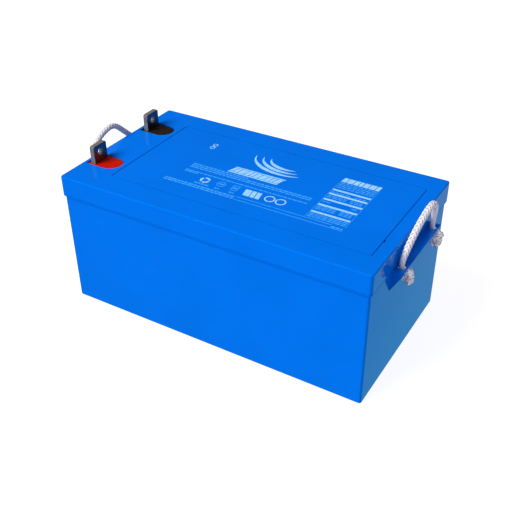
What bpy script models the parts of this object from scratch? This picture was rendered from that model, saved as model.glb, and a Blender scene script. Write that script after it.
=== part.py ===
"""Deep cycle battery: a sealed block of six cells with flag terminals and rope handles.

Metres, +Z up, origin at the middle of the base. Both terminals are at the -X end, and the
positive one is on the -Y side.
"""

import math

import bmesh
import bpy
from mathutils import Vector

GAP = 0.0003  # left between pieces that touch
OVERLAP = 0.001  # how far solids that are joined reach into each other
CLEAR = 0.010  # how far a cutting tool stands past the surface that it cuts

# Case
CASE_LENGTH = 0.4873
CASE_WIDTH = 0.2637
CASE_RIM = 0.2045
CASE_CORNER = 0.0035
CASE_WALL = 0.005
CASE_FLOOR = 0.006
EDGE_ROUNDING = 0.002
PARTITION = 0.003

# Lid
LID_LENGTH = 0.4921
LID_WIDTH = 0.2685
LID_TOP = 0.2133
SKIRT_BOTTOM = 0.1817
DECK = 0.005
LID_CORNER = 0.0045

# How finely round shapes are drawn
CORNER_STEPS = 5
ROUNDING_STEPS = 3
COVER_CORNER_STEPS = 3
BOW_STEPS = 12
POCKET_SIDES = 16
HOLE_SIDES = 12
BORE_SIDES = 8
SMOOTH_BELOW = math.radians(32)

# Cover plate let into the lid, over the six vent valves
COVER_LEFT = -0.182
COVER_RIGHT = 0.2257
COVER_HALF_WIDTH = 0.095
COVER_CORNER = 0.002
COVER_THICKNESS = 0.0025
COVER_SLIT = 0.0006
COVER_END_SLIT = 0.001
COVER_SUNK = 0.0002
RECESS_DEPTH = 0.003
NOTCH_Y = -0.0568
NOTCH_RADIUS = 0.0035

# Vent valves: a rubber cap over a neck in a round pocket, one for each cell
POCKET_RADIUS = 0.0125
POCKET_FLOOR = 0.1985
POCKET_WALL = 0.0025
NECK_RADIUS = 0.0055
NECK_TOP = 0.205
VENT_BORE = 0.003
CAP_RADIUS = 0.008
CAP_BOTTOM = POCKET_FLOOR + 0.0008
CAP_TOP = 0.2085

# Terminals: an upright flag with a bolt hole, on a foot and a stem that pass down through the lid
FLAG_X = -0.2296
FLAG_Y = 0.0645
FLAG_THICKNESS = 0.0078
FLAG_WIDTH = 0.0285
FLAG_TOP = LID_TOP + 0.0264
FLAG_CORNER = 0.002
BOLT_HOLE_RADIUS = 0.00525
BOLT_HOLE_Z = LID_TOP + 0.0142
FOOT_INSET = 0.0002
STEM_RADIUS = 0.0036
SEAL_RING_RADIUS = 0.0009

# Wells round the terminals: a square-ended D at the top, and a narrow socket under it
WELL_LEFT = -0.2395
WELL_RIGHT = -0.189
WELL_HALF_WIDTH = 0.0185
WELL_DEPTH = 0.0032
RESIN_TOP = LID_TOP - 0.0013
SOCKET_HALF_LENGTH = 0.0069
SOCKET_HALF_WIDTH = 0.016
SOCKET_FLOOR = 0.1995
SOCKET_BASE = 0.003
SOCKET_WALL = 0.0018
TERMINAL_FOOT = SOCKET_FLOOR + 2 * SEAL_RING_RADIUS + 2 * GAP

# Rope handles: a ledge on each end wall with two holes, a loop that swings, and a knot under each hole
LEDGE_OUT = 0.2605
LEDGE_HALF_WIDTH = 0.067
LEDGE_TOP = SKIRT_BOTTOM - GAP
LEDGE_PLATE = 0.0042
LEDGE_TIP = 0.1465
GUSSET = 0.0025
ROPE_RADIUS = 0.005
ROPE_HOLE_RADIUS = 0.0056
ROPE_X = 0.2527
ROPE_Y = 0.0544
SWING_Z = SKIRT_BOTTOM + 0.008
STUB_TOP = SWING_Z - 0.0068
KNOT_X = 0.2585
FRONT_KNOT_Y = -0.0475
BACK_KNOT_Y = 0.0525
KNOT_RADIUS = 0.012
KNOT_HALF_HEIGHT = 0.0106
RIGHT_KNOT_Z = 0.1661
LEFT_KNOT_Z = 0.1585
KNOT_AROUND = 12
KNOT_UP = 8
TAIL_X = KNOT_X - 0.004
TAIL_LENGTH = 0.006
ROPE_STEPS = 3

# Each loop's route from hole to hole: outwards from the holes, along the end, and up from the swing axis
RIGHT_LOOP = [
    (0.0000, -0.0540, 0.0000),
    (0.0012, -0.0490, 0.0110),
    (0.0025, -0.0398, 0.0216),
    (0.0036, -0.0283, 0.0311),
    (0.0048, -0.0152, 0.0393),
    (0.0059, 0.0000, 0.0455),
    (0.0066, 0.0110, 0.0482),
    (0.0070, 0.0199, 0.0476),
    (0.0064, 0.0290, 0.0418),
    (0.0050, 0.0380, 0.0300),
    (0.0026, 0.0460, 0.0150),
    (0.0000, 0.0526, 0.0000),
]
LEFT_LOOP = [
    (0.0000, -0.0530, 0.0000),
    (0.0026, -0.0495, 0.0090),
    (0.0062, -0.0410, 0.0208),
    (0.0088, -0.0306, 0.0308),
    (0.0090, -0.0205, 0.0366),
    (0.0086, -0.0103, 0.0405),
    (0.0080, 0.0004, 0.0425),
    (0.0080, 0.0105, 0.0405),
    (0.0082, 0.0190, 0.0350),
    (0.0078, 0.0292, 0.0256),
    (0.0058, 0.0392, 0.0155),
    (0.0026, 0.0485, 0.0065),
    (0.0000, 0.0530, 0.0000),
]

# Plate packs: each cell's plates stand side by side along Y, with a folded glass mat between them
PLATES_IN_CELL = 9
PLATE_PITCH = 0.0134
PLATE_THICKNESS = 0.0094
PLATE_HALF_WIDTH = 0.074
PLATE_BOTTOM = 0.008
PLATE_TOP = 0.150
MAT_THICKNESS = 0.0028
MAT_HALF_WIDTH = 0.076
MAT_BOTTOM = 0.0065
MAT_TOP = 0.153
LUG_HALF_WIDTH = 0.007
LUG_X = 0.050
STRAP_HALF_WIDTH = 0.010
STRAP_BOTTOM = 0.160
STRAP_TOP = 0.167
STRAP_REACH = 0.016  # the end cells' outer straps are longer by this, to meet the terminals' stems
LINK_HALF_WIDTH = 0.005
LINK_HEIGHT = 0.006
LINK_REACH = 0.034

COLUMN_EDGE = CASE_LENGTH / 6 - CASE_WALL / 3  # the transverse partitions' distance from the middle
CAVITY_X = CASE_LENGTH / 2 - CASE_WALL
CAVITY_Y = CASE_WIDTH / 2 - CASE_WALL
COLUMN_X = (CAVITY_X + COLUMN_EDGE + PARTITION / 2) / 2
ROW_Y = (CAVITY_Y + PARTITION / 2) / 2

# The cells in the order of the current, from the positive terminal: column, and row as the sign of y
CELLS = [(-1, -1), (0, -1), (1, -1), (1, 1), (0, 1), (-1, 1)]


def material(name, colour, roughness, metallic=0.0):
    made = bpy.data.materials.new(name)
    made.use_nodes = True
    shader = made.node_tree.nodes["Principled BSDF"]
    shader.inputs["Base Color"].default_value = (*colour, 1.0)
    shader.inputs["Roughness"].default_value = roughness
    shader.inputs["Metallic"].default_value = metallic
    return made


# Outlines, counter-clockwise


def rectangle(x0, x1, y0, y1):
    return [(x0, y0), (x1, y0), (x1, y1), (x0, y1)]


def rounded_rectangle(x0, x1, y0, y1, radius, steps=CORNER_STEPS):
    corners = [(x1, y0, -90), (x1, y1, 0), (x0, y1, 90), (x0, y0, 180)]
    points = []
    for x, y, start in corners:
        centre_x = x - math.copysign(radius, x - (x0 + x1) / 2)
        centre_y = y - math.copysign(radius, y - (y0 + y1) / 2)
        for step in range(steps + 1):
            angle = math.radians(start + 90 * step / steps)
            points.append((centre_x + radius * math.cos(angle), centre_y + radius * math.sin(angle)))
    return points


def rounded_plan(half_x, half_y, radius):
    """A rounded rectangle about the middle of the battery."""
    return rounded_rectangle(-half_x, half_x, -half_y, half_y, radius)


def disc(x, y, radius, sides):
    turns = [2 * math.pi * (side + 0.5) / sides for side in range(sides)]
    return [(x + radius * math.cos(turn), y + radius * math.sin(turn)) for turn in turns]


def well_outline(y, margin=0.0):
    """The D of a terminal's well: square at its left end and half round at its right end."""
    half = WELL_HALF_WIDTH - margin
    centre = WELL_RIGHT - WELL_HALF_WIDTH
    turns = [math.pi * (step / BOW_STEPS - 0.5) for step in range(BOW_STEPS + 1)]
    bow = [(centre + half * math.cos(turn), y + half * math.sin(turn)) for turn in turns]
    return [(WELL_LEFT + margin, y - half), *bow, (WELL_LEFT + margin, y + half)]


# Solids


def stacked(rings):
    """A closed solid through rings of points, each ring with as many points as the last."""
    mesh = bpy.data.meshes.new("solid")
    shape = bmesh.new()
    rows = [[shape.verts.new(point) for point in ring] for ring in rings]
    for low, high in zip(rows, rows[1:]):
        for i in range(len(low)):
            j = (i + 1) % len(low)
            shape.faces.new((low[i], low[j], high[j], high[i]))
    shape.faces.new(reversed(rows[0]))
    shape.faces.new(rows[-1])
    shape.to_mesh(mesh)
    shape.free()
    made = bpy.data.objects.new("solid", mesh)
    bpy.context.collection.objects.link(made)
    return made


def upright(outline, bottom, top):
    return stacked([[(x, y, z) for x, y in outline] for z in (bottom, top)])


def along_x(outline, low, high):
    """An outline in (y, z), extruded along X."""
    return stacked([[(x, y, z) for y, z in outline] for x in (low, high)])


def along_y(outline, low, high):
    """An outline in (z, x), extruded along Y."""
    return stacked([[(x, y, z) for z, x in outline] for y in (low, high)])


def rounding():
    """How far each ring of a rounded edge lies in from the side and down from the face."""
    for step in range(ROUNDING_STEPS + 1):
        turn = math.pi / 2 * step / ROUNDING_STEPS
        yield EDGE_ROUNDING * (1 - math.cos(turn)), EDGE_ROUNDING * (1 - math.sin(turn))


def block(x0, x1, y0, y1, z0, z1):
    return upright(rectangle(x0, x1, y0, y1), z0, z1)


def joined(solids):
    """Several separate solids as one object, to cut or add in one step."""
    shape = bmesh.new()
    for solid in solids:
        shape.from_mesh(solid.data)
    first = solids[0]
    shape.to_mesh(first.data)
    shape.free()
    for solid in solids[1:]:
        bpy.data.objects.remove(solid)
    return first


def combine(target, tool, operation):
    """Adds the tool to the target or cuts it away, and removes the tool."""
    modifier = target.modifiers.new("combine", "BOOLEAN")
    modifier.object = tool
    modifier.operation = operation
    graph = bpy.context.evaluated_depsgraph_get()
    result = bpy.data.meshes.new_from_object(target.evaluated_get(graph))
    target.modifiers.remove(modifier)
    target.data = result
    bpy.data.objects.remove(tool)


def add(target, *solids):
    combine(target, joined(solids), "UNION")


def cut(target, *solids):
    combine(target, joined(solids), "DIFFERENCE")


def finish(made, name, look):
    made.name = name
    made.data.name = name
    made.data.materials.clear()
    made.data.materials.append(look)
    made.data.shade_smooth()
    made.data.set_sharp_from_angle(angle=SMOOTH_BELOW)


# Places of the cells and what is in them


def cell_centre(cell):
    column, row = cell
    return column * COLUMN_X, row * ROW_Y


def positive_side(cell):
    """The end of the cell, as a sign of x, that its positive strap is at."""
    return -1 if cell[1] < 0 else 1


def is_end_cell(cell):
    return cell[0] == -1


def link_box(index, margin=0.0):
    """The bar that joins a cell to the next, through the partition between them."""
    (column, row), (next_column, next_row) = CELLS[index], CELLS[index + 1]
    x, y = cell_centre(CELLS[index])
    low, high = STRAP_TOP + GAP, STRAP_TOP + GAP + LINK_HEIGHT
    if row == next_row:
        wall = (column + next_column) * COLUMN_EDGE
        x0, x1 = wall - LINK_REACH, wall + LINK_REACH
        y0, y1 = y - LINK_HALF_WIDTH, y + LINK_HALF_WIDTH
    else:
        strap = x - positive_side(CELLS[index]) * LUG_X
        x0, x1 = strap - LINK_HALF_WIDTH, strap + LINK_HALF_WIDTH
        y0, y1 = -LINK_REACH, LINK_REACH
    return x0 - margin, x1 + margin, y0 - margin, y1 + margin, low - margin, high + margin


# Sub-parts


def add_ledge(case, side):
    """The ledge across one end wall: a plate with two rope holes, and a gusset at each end."""
    wall, lip = side * (CASE_LENGTH / 2 - OVERLAP), side * LEDGE_OUT
    inner, outer = sorted((wall, lip))
    underside = LEDGE_TOP - LEDGE_PLATE
    add(case, block(inner, outer, -LEDGE_HALF_WIDTH, LEDGE_HALF_WIDTH, underside, LEDGE_TOP))
    gusset = [(LEDGE_TIP, wall), (underside, lip), (LEDGE_TOP - OVERLAP, lip), (LEDGE_TOP - OVERLAP, wall)]
    if side < 0:
        gusset.reverse()
    for end in (-1, 1):
        near, far = sorted((end * (LEDGE_HALF_WIDTH - GUSSET), end * LEDGE_HALF_WIDTH))
        add(case, along_y(gusset, near, far))
    holes = [disc(side * ROPE_X, end * ROPE_Y, ROPE_HOLE_RADIUS, HOLE_SIDES) for end in (-1, 1)]
    cut(case, *[upright(hole, underside - CLEAR, LEDGE_TOP + CLEAR) for hole in holes])


def cell_cavity(cell):
    """The space for one cell, between the walls and partitions."""
    column, row = cell
    half = PARTITION / 2
    x0, x1 = {
        -1: (-CAVITY_X, -COLUMN_EDGE - half),
        0: (-COLUMN_EDGE + half, COLUMN_EDGE - half),
        1: (COLUMN_EDGE + half, CAVITY_X),
    }[column]
    y0, y1 = sorted((row * half, row * CAVITY_Y))
    return block(x0, x1, y0, y1, CASE_FLOOR, CASE_RIM + CLEAR)


def make_case(look):
    half_x, half_y = CASE_LENGTH / 2, CASE_WIDTH / 2
    outlines = []
    for inset, height in rounding():
        outlines.append((rounded_plan(half_x - inset, half_y - inset, CASE_CORNER - inset), height))
    widest = outlines[0][0]
    levels = [*outlines[::-1], (widest, CASE_RIM)]
    case = stacked([[(x, y, z) for x, y in outline] for outline, z in levels])
    for side in (-1, 1):
        add_ledge(case, side)
    cut(case, *[cell_cavity(cell) for cell in CELLS])
    cut(case, *[block(*link_box(index, GAP)) for index in range(len(CELLS) - 1)])
    finish(case, "case", look)


def lid_shell():
    """The lid's outside, hollowed from below."""
    half_x, half_y = LID_LENGTH / 2, LID_WIDTH / 2
    rings = [[(x, y, SKIRT_BOTTOM) for x, y in rounded_plan(half_x, half_y, LID_CORNER)]]
    for inset, depth in rounding():
        outline = rounded_plan(half_x - inset, half_y - inset, LID_CORNER - inset)
        rings.append([(x, y, LID_TOP - depth) for x, y in outline])
    lid = stacked(rings)
    inside = rounded_plan(CASE_LENGTH / 2 + GAP, CASE_WIDTH / 2 + GAP, CASE_CORNER + GAP)
    cut(lid, upright(inside, SKIRT_BOTTOM - CLEAR, LID_TOP - DECK))
    return lid


def make_lid(look):
    lid = lid_shell()
    deck_middle = LID_TOP - DECK / 2
    bosses, pockets, necks, bores = [], [], [], []
    for cell in CELLS:
        x, y = cell_centre(cell)
        boss = disc(x, y, POCKET_RADIUS + POCKET_WALL, POCKET_SIDES)
        bosses.append(upright(boss, POCKET_FLOOR - POCKET_WALL, deck_middle))
        pocket = disc(x, y, POCKET_RADIUS, POCKET_SIDES)
        pockets.append(upright(pocket, POCKET_FLOOR, LID_TOP + CLEAR))
        neck = disc(x, y, NECK_RADIUS, HOLE_SIDES)
        necks.append(upright(neck, POCKET_FLOOR - POCKET_WALL / 2, NECK_TOP))
        bore = disc(x, y, VENT_BORE, BORE_SIDES)
        bores.append(upright(bore, POCKET_FLOOR - CLEAR, LID_TOP + CLEAR))
    for side in (-1, 1):
        y = side * FLAG_Y
        x0, x1 = FLAG_X - SOCKET_HALF_LENGTH, FLAG_X + SOCKET_HALF_LENGTH
        y0, y1 = y - SOCKET_HALF_WIDTH, y + SOCKET_HALF_WIDTH
        boss = rectangle(x0 - SOCKET_WALL, x1 + SOCKET_WALL, y0 - SOCKET_WALL, y1 + SOCKET_WALL)
        bosses.append(upright(boss, SOCKET_FLOOR - SOCKET_BASE, deck_middle))
        pockets.append(block(x0, x1, y0, y1, SOCKET_FLOOR, LID_TOP - WELL_DEPTH / 2))
        bore = disc(FLAG_X, y, STEM_RADIUS + 2 * GAP, HOLE_SIDES)
        bores.append(upright(bore, SOCKET_FLOOR - CLEAR, LID_TOP + CLEAR))
    add(lid, *bosses)

    recess = rounded_rectangle(
        COVER_LEFT - COVER_SLIT,
        COVER_RIGHT + COVER_END_SLIT,
        -COVER_HALF_WIDTH - COVER_SLIT,
        COVER_HALF_WIDTH + COVER_SLIT,
        COVER_CORNER + COVER_SLIT,
        COVER_CORNER_STEPS,
    )
    cut(lid, upright(recess, LID_TOP - RECESS_DEPTH, LID_TOP + CLEAR))
    notch = disc(COVER_RIGHT, NOTCH_Y, NOTCH_RADIUS, HOLE_SIDES)
    cut(lid, upright(notch, LID_TOP - RECESS_DEPTH, LID_TOP + CLEAR))
    wells = [well_outline(side * FLAG_Y) for side in (-1, 1)]
    cut(lid, *[upright(well, LID_TOP - WELL_DEPTH, LID_TOP + CLEAR) for well in wells])
    cut(lid, *pockets)
    add(lid, *necks)
    cut(lid, *bores)
    finish(lid, "lid", look)


def make_cover(look):
    top = LID_TOP - COVER_SUNK
    half = COVER_HALF_WIDTH
    outline = rounded_rectangle(COVER_LEFT, COVER_RIGHT, -half, half, COVER_CORNER, COVER_CORNER_STEPS)
    finish(upright(outline, top - COVER_THICKNESS, top), "vent_cover_plate", look)


def make_lid_seal(look):
    """The bead of resin that glues the lid to the case's rim and to the partitions."""
    low, high = CASE_RIM + GAP, LID_TOP - DECK - GAP
    edge_x, edge_y = CASE_LENGTH / 2 - GAP, CASE_WIDTH / 2 - GAP
    seal = upright(rounded_plan(edge_x, edge_y, CASE_CORNER), low, high)
    inner_x, inner_y = CAVITY_X + GAP, CAVITY_Y + GAP
    cut(seal, block(-inner_x, inner_x, -inner_y, inner_y, low - CLEAR, high + CLEAR))
    half = PARTITION / 2
    reach_x, reach_y = inner_x + OVERLAP, inner_y + OVERLAP
    add(seal, block(-reach_x, reach_x, -half, half, low, high))
    for side in (-1, 1):
        x = side * COLUMN_EDGE
        add(seal, block(x - half, x + half, -reach_y, reach_y, low, high))
    finish(seal, "lid_seal", look)


def make_valve_cap(number, look):
    """A rubber cap that sits over the neck and lifts when the gas pressure in the cell is too high."""
    x, y = cell_centre(CELLS[number])
    cap = upright(disc(x, y, CAP_RADIUS, POCKET_SIDES), CAP_BOTTOM, CAP_TOP)
    cut(cap, upright(disc(x, y, NECK_RADIUS + GAP, HOLE_SIDES), CAP_BOTTOM - CLEAR, NECK_TOP + GAP))
    finish(cap, f"vent_valve_cap_{number + 1}", look)


def foot_box(side, margin=0.0):
    """The sides of a terminal's foot, which stands in the resin under the flag."""
    half_x, half_y = FLAG_THICKNESS / 2 - FOOT_INSET + margin, FLAG_WIDTH / 2 - FOOT_INSET + margin
    y = side * FLAG_Y
    return FLAG_X - half_x, FLAG_X + half_x, y - half_y, y + half_y


def make_terminal(name, side, look):
    y = side * FLAG_Y
    half = FLAG_WIDTH / 2
    bottom = RESIN_TOP + GAP
    corner = FLAG_CORNER * (1 - math.sqrt(0.5))
    outline = [
        (y - half, bottom),
        (y + half, bottom),
        (y + half, FLAG_TOP - FLAG_CORNER),
        (y + half - corner, FLAG_TOP - corner),
        (y + half - FLAG_CORNER, FLAG_TOP),
        (y - half + FLAG_CORNER, FLAG_TOP),
        (y - half + corner, FLAG_TOP - corner),
        (y - half, FLAG_TOP - FLAG_CORNER),
    ]
    left, right = FLAG_X - FLAG_THICKNESS / 2, FLAG_X + FLAG_THICKNESS / 2
    flag = along_x(outline, left, right)
    hole = disc(y, BOLT_HOLE_Z, BOLT_HOLE_RADIUS, POCKET_SIDES)
    cut(flag, along_x(hole, left - CLEAR, right + CLEAR))
    add(flag, block(*foot_box(side), TERMINAL_FOOT, bottom + OVERLAP))
    add(flag, upright(disc(FLAG_X, y, STEM_RADIUS, HOLE_SIDES), STRAP_TOP + GAP, TERMINAL_FOOT + OVERLAP))
    finish(flag, name, look)


def make_seal_ring(name, side, look):
    """The rubber ring round a terminal's stem, under its flag."""
    around, across = 16, 6
    radius = STEM_RADIUS + SEAL_RING_RADIUS + GAP
    middle = SOCKET_FLOOR + GAP + SEAL_RING_RADIUS
    shape = bmesh.new()
    rows = []
    for i in range(around):
        turn = 2 * math.pi * i / around
        row = []
        for j in range(across):
            tilt = 2 * math.pi * (j + 0.5) / across
            reach = radius + SEAL_RING_RADIUS * math.cos(tilt)
            place = (FLAG_X + reach * math.cos(turn), side * FLAG_Y + reach * math.sin(turn))
            row.append(shape.verts.new((*place, middle + SEAL_RING_RADIUS * math.sin(tilt))))
        rows.append(row)
    for i in range(around):
        row, following = rows[i], rows[(i + 1) % around]
        for j in range(across):
            k = (j + 1) % across
            shape.faces.new((row[j], following[j], following[k], row[k]))
    mesh = bpy.data.meshes.new(name)
    shape.to_mesh(mesh)
    shape.free()
    ring = bpy.data.objects.new(name, mesh)
    bpy.context.collection.objects.link(ring)
    finish(ring, name, look)


def make_resin(name, side, look):
    """The coloured resin poured into a terminal's well."""
    y = side * FLAG_Y
    resin = upright(well_outline(y, GAP), LID_TOP - WELL_DEPTH + GAP, RESIN_TOP)
    x0, x1 = FLAG_X - SOCKET_HALF_LENGTH + GAP, FLAG_X + SOCKET_HALF_LENGTH - GAP
    y0, y1 = y - SOCKET_HALF_WIDTH + GAP, y + SOCKET_HALF_WIDTH - GAP
    add(resin, block(x0, x1, y0, y1, TERMINAL_FOOT + GAP, RESIN_TOP - OVERLAP))
    cut(resin, block(*foot_box(side, GAP), TERMINAL_FOOT - CLEAR, RESIN_TOP + CLEAR))
    finish(resin, name, look)


def make_plates(number, sign, look):
    """One cell's plates of one sign, hung from the strap that joins their lugs."""
    cell = CELLS[number]
    x, y = cell_centre(cell)
    side = positive_side(cell) * sign
    half_stack = (PLATES_IN_CELL - 1) / 2
    strap_x = x + side * LUG_X
    reach = half_stack * PLATE_PITCH + PLATE_THICKNESS / 2
    x0, x1 = strap_x - STRAP_HALF_WIDTH, strap_x + STRAP_HALF_WIDTH
    if is_end_cell(cell) and side < 0:
        x0 -= STRAP_REACH
    pack = block(x0, x1, y - reach, y + reach, STRAP_BOTTOM, STRAP_TOP)
    lug_top = (STRAP_BOTTOM + STRAP_TOP) / 2
    outline = [
        (PLATE_BOTTOM, x - PLATE_HALF_WIDTH),
        (PLATE_TOP, x - PLATE_HALF_WIDTH),
        (PLATE_TOP, strap_x - LUG_HALF_WIDTH),
        (lug_top, strap_x - LUG_HALF_WIDTH),
        (lug_top, strap_x + LUG_HALF_WIDTH),
        (PLATE_TOP, strap_x + LUG_HALF_WIDTH),
        (PLATE_TOP, x + PLATE_HALF_WIDTH),
        (PLATE_BOTTOM, x + PLATE_HALF_WIDTH),
    ]
    plates = []
    for index in range(1 if sign > 0 else 0, PLATES_IN_CELL, 2):
        middle = y + (index - half_stack) * PLATE_PITCH
        plates.append(along_y(outline, middle - PLATE_THICKNESS / 2, middle + PLATE_THICKNESS / 2))
    add(pack, *plates)
    kind = "positive" if sign > 0 else "negative"
    finish(pack, f"{kind}_plates_{number + 1}", look)


def band(path, thickness):
    """The outline of a band of even thickness along a path that turns at right angles."""
    left, right = [], []
    for i, point in enumerate(path):
        before = (point - path[i - 1]).normalized() if i else None
        after = (path[i + 1] - point).normalized() if i + 1 < len(path) else before
        before = before or after
        normals = [Vector((-way.y, way.x)) for way in (before, after)]
        shift = normals[0] if before == after else normals[0] + normals[1]
        left.append(point + shift * thickness / 2)
        right.append(point - shift * thickness / 2)
    return [tuple(point) for point in right + left[::-1]]


def make_separator(number, look):
    """The glass mat, folded to and fro so that a layer stands between every two plates."""
    x, y = cell_centre(CELLS[number])
    layers = PLATES_IN_CELL - 1
    path = []
    for layer in range(layers):
        along = y + (layer - (layers - 1) / 2) * PLATE_PITCH
        ends = [Vector((x - MAT_HALF_WIDTH, along)), Vector((x + MAT_HALF_WIDTH, along))]
        path += ends if layer % 2 == 0 else ends[::-1]
    finish(upright(band(path, MAT_THICKNESS), MAT_BOTTOM, MAT_TOP), f"separator_{number + 1}", look)


def make_cell_link(index, look):
    finish(block(*link_box(index)), f"cell_link_{index + 1}", look)


def smooth_route(points, steps):
    """Points along the smooth curve through the route's own points."""
    ends = [2 * points[0] - points[1], *points, 2 * points[-1] - points[-2]]
    route = []
    for a, b, c, d in zip(ends, ends[1:], ends[2:], ends[3:]):
        for step in range(steps):
            t = step / steps
            bend = (2 * a - 5 * b + 4 * c - d) * t * t + (3 * b - a - 3 * c + d) * t**3
            route.append((2 * b + (c - a) * t + bend) / 2)
    return [*route, points[-1]]


def make_rope_handle(name, side, loop, look):
    """The part of a rope handle that stands above its ledge and swings about the line between its holes."""
    curve = bpy.data.curves.new(name, "CURVE")
    curve.dimensions = "3D"
    curve.bevel_depth = ROPE_RADIUS
    curve.bevel_resolution = 2
    curve.use_fill_caps = True
    route = smooth_route([Vector((side * out, along, up)) for out, along, up in loop], ROPE_STEPS)
    spline = curve.splines.new("POLY")
    spline.points.add(len(route) - 1)
    for point, place in zip(spline.points, route):
        point.co = (*place, 1.0)
    curve.materials.append(look)
    handle = bpy.data.objects.new(name, curve)
    handle.location = (side * ROPE_X, 0.0, SWING_Z)
    bpy.context.collection.objects.link(handle)


def make_rope_end(name, side, end, knot_y, knot_z, look):
    """A rope's end: the run down through the ledge's hole, the knot that stops it, and a short tail."""
    x, y = side * ROPE_X, end * ROPE_Y
    mesh = bpy.data.meshes.new(name)
    shape = bmesh.new()
    bmesh.ops.create_uvsphere(shape, u_segments=KNOT_AROUND, v_segments=KNOT_UP, radius=1.0)
    for vertex in shape.verts:
        vertex.co.x = side * KNOT_X + vertex.co.x * KNOT_RADIUS
        vertex.co.y = knot_y + vertex.co.y * KNOT_RADIUS
        vertex.co.z = knot_z + vertex.co.z * KNOT_HALF_HEIGHT
    shape.to_mesh(mesh)
    shape.free()
    knot = bpy.data.objects.new(name, mesh)
    bpy.context.collection.objects.link(knot)
    add(knot, upright(disc(x, y, ROPE_RADIUS, HOLE_SIDES), knot_z, STUB_TOP))
    tail = disc(side * TAIL_X, knot_y, ROPE_RADIUS, HOLE_SIDES)
    add(knot, upright(tail, knot_z - KNOT_HALF_HEIGHT - TAIL_LENGTH, knot_z))
    finish(knot, name, look)


def main():
    for old in list(bpy.data.objects):
        bpy.data.objects.remove(old, do_unlink=True)

    blue = material("blue_plastic", (0.0, 0.16, 0.78), 0.18)
    cover_blue = material("cover_plastic", (0.0, 0.165, 0.76), 0.22)
    red_resin = material("red_resin", (0.55, 0.012, 0.004), 0.12)
    black_resin = material("black_resin", (0.012, 0.009, 0.008), 0.12)
    terminal_metal = material("plated_brass", (0.42, 0.40, 0.38), 0.25, 1.0)
    rope = material("braided_rope", (0.80, 0.79, 0.78), 0.85)
    rubber = material("black_rubber", (0.02, 0.02, 0.02), 0.7)
    seal_resin = material("seal_resin", (0.10, 0.09, 0.07), 0.5)
    positive_lead = material("positive_plate", (0.16, 0.09, 0.06), 0.7)
    negative_lead = material("negative_plate", (0.30, 0.31, 0.33), 0.6, 0.5)
    cast_lead = material("cast_lead", (0.36, 0.37, 0.39), 0.5, 0.8)
    glass_mat = material("glass_mat", (0.86, 0.86, 0.84), 0.9)

    make_case(blue)
    make_lid(blue)
    make_cover(cover_blue)
    make_lid_seal(seal_resin)
    for name, side, resin in (("positive", -1, red_resin), ("negative", 1, black_resin)):
        make_terminal(f"{name}_terminal", side, terminal_metal)
        make_seal_ring(f"{name}_seal_ring", side, rubber)
        make_resin(f"{name}_well_resin", side, resin)
    for number in range(len(CELLS)):
        make_valve_cap(number, rubber)
        make_plates(number, 1, positive_lead)
        make_plates(number, -1, negative_lead)
        make_separator(number, glass_mat)
    for index in range(len(CELLS) - 1):
        make_cell_link(index, cast_lead)
    ropes = [("left", -1, LEFT_LOOP, LEFT_KNOT_Z), ("right", 1, RIGHT_LOOP, RIGHT_KNOT_Z)]
    for name, side, loop, knot_z in ropes:
        make_rope_handle(f"rope_handle_{name}", side, loop, rope)
        make_rope_end(f"rope_knot_{name}_front", side, -1, FRONT_KNOT_Y, knot_z, rope)
        make_rope_end(f"rope_knot_{name}_back", side, 1, BACK_KNOT_Y, knot_z, rope)


main()
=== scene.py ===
"""The looks of a deep cycle battery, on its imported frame. Metres, +Z up, origin at the middle of the base."""
import math

import bmesh
import bpy
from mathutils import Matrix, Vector


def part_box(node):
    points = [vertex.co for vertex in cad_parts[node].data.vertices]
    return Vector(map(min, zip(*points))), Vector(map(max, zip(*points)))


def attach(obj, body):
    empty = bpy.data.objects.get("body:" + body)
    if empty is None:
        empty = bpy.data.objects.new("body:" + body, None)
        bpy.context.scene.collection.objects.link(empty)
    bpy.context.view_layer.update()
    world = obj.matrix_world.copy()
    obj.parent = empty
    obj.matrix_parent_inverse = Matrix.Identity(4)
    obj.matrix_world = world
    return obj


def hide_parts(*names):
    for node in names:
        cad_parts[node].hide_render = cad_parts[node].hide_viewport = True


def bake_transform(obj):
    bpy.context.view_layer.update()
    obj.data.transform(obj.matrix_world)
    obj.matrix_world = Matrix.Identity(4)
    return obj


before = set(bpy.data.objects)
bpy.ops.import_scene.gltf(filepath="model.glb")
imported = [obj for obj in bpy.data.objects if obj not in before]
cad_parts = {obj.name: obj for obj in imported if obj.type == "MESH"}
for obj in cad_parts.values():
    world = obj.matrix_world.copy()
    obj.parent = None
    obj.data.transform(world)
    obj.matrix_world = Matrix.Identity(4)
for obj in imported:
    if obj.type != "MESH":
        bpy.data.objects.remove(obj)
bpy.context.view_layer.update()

GAP = 0.0003  # between neighbouring pieces
CLEAR = 0.010  # how far a cutting tool reaches past what it cuts
OVERLAP = 0.001  # how far joined solids run into each other

# Sizes from the frame
lid_low, lid_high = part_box("lid")
case_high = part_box("case")[1]
cover_low, cover_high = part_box("vent_cover_plate")
flag_low, flag_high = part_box("positive_terminal")
resin_low, resin_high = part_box("positive_well_resin")
cap_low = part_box("vent_valve_cap_1")[0]
LID_TOP = lid_high.z
SKIRT_BOTTOM = lid_low.z
LEDGE_OUT = case_high.x
CASE_RIM = case_high.z

# Case
CASE_HALF_X = 0.24365
CASE_HALF_Y = case_high.y
CASE_CORNER = 0.0035
LID_CORNER = 0.0045
CASE_WALL = 0.005
CASE_FLOOR = 0.006
EDGE_ROUNDING = 0.002
PARTITION = 0.003
COLUMN_EDGE = (CASE_HALF_X - CASE_WALL) / 3
SOFT_EDGE = 0.0008

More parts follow.
